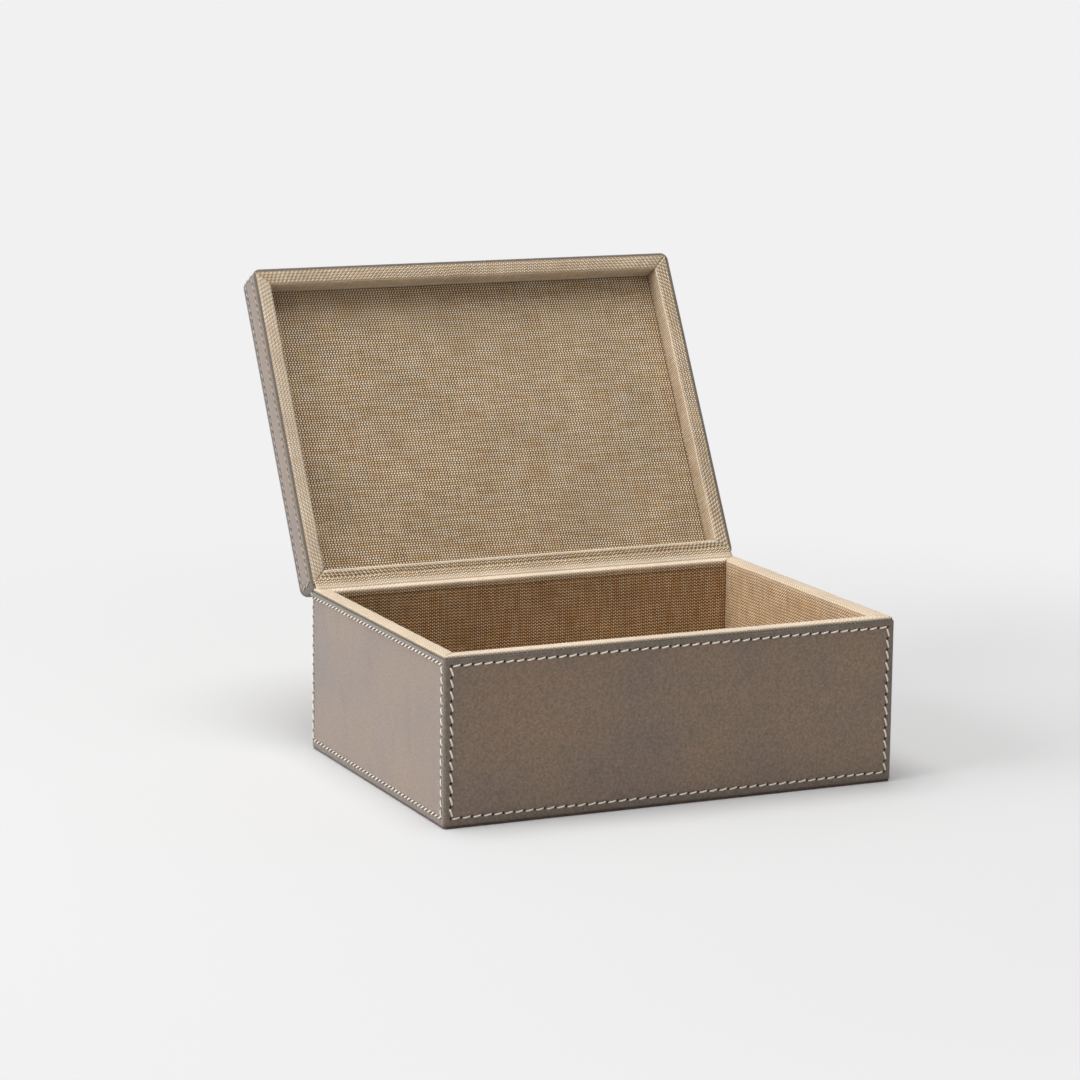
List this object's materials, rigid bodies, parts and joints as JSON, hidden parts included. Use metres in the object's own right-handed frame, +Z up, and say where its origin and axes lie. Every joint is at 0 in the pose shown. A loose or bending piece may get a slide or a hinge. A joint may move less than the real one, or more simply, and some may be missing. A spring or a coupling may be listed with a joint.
{
  "type": "hinged stationery box",
  "caption": "Hinged box for papers: leather panels saddle-stitched over boards, linen lining rolled over the rim, and a shallow lid that stands open on a flexible leather and linen hinge.",
  "frame": {"origin": "middle of the underside of the base, on the table", "axes": "+X to the right, -Y out of the front, +Z up; the hinge lies along X at the back, and the lid leans back over +Y"},
  "size_m": [0.2608, 0.295, 0.2549],
  "materials": {
    "leather": "full-grain vegetable-tanned hide, waxed, grey-brown",
    "underside": "thin split leather, dark grey",
    "spine": "thin pared leather of the same hide",
    "board": "laminated wood-pulp board, unpainted",
    "linen": "plain-woven linen drawn over thin card, tan",
    "strip": "plain-woven linen strip, cream",
    "thread": "waxed linen thread, cream"
  },
  "bodies": {
    "base": {"base_board_front": "board", "base_board_right": "board", "base_board_back": "board", "base_board_left": "board", "base_board_bottom": "board", "base_leather_front": "leather", "base_leather_right": "leather", "base_leather_back": "leather", "base_leather_left": "leather", "base_underside": "underside", "base_lining_front": "linen", "base_lining_right": "linen", "base_lining_back": "linen", "base_lining_left": "linen", "base_lining_floor": "linen", "base_stitches_front": "thread", "base_stitches_right": "thread", "base_stitches_back": "thread", "base_stitches_left": "thread", "hinge_spine": "spine", "hinge_linen": "strip"},
    "lid": {"lid_board_front": "board", "lid_board_right": "board", "lid_board_back": "board", "lid_board_left": "board", "lid_board_top": "board", "lid_leather_front": "leather", "lid_leather_right": "leather", "lid_leather_back": "leather", "lid_leather_left": "leather", "lid_leather_top": "leather", "lid_lining_front": "linen", "lid_lining_right": "linen", "lid_lining_back": "linen", "lid_lining_left": "linen", "lid_lining_ceiling": "linen", "lid_stitches_front": "thread", "lid_stitches_right": "thread", "lid_stitches_back": "thread", "lid_stitches_left": "thread", "lid_stitches_top": "thread"}
  },
  "joints": [
    {"name": "lid_hinge", "type": "hinge", "parent": "base", "child": "lid", "pos_m": [0, 0.093, 0.0903], "axis": [1, 0, 0], "range_deg": [0, 119.3], "deforming": ["hinge_spine", "hinge_linen"]}
  ]
}
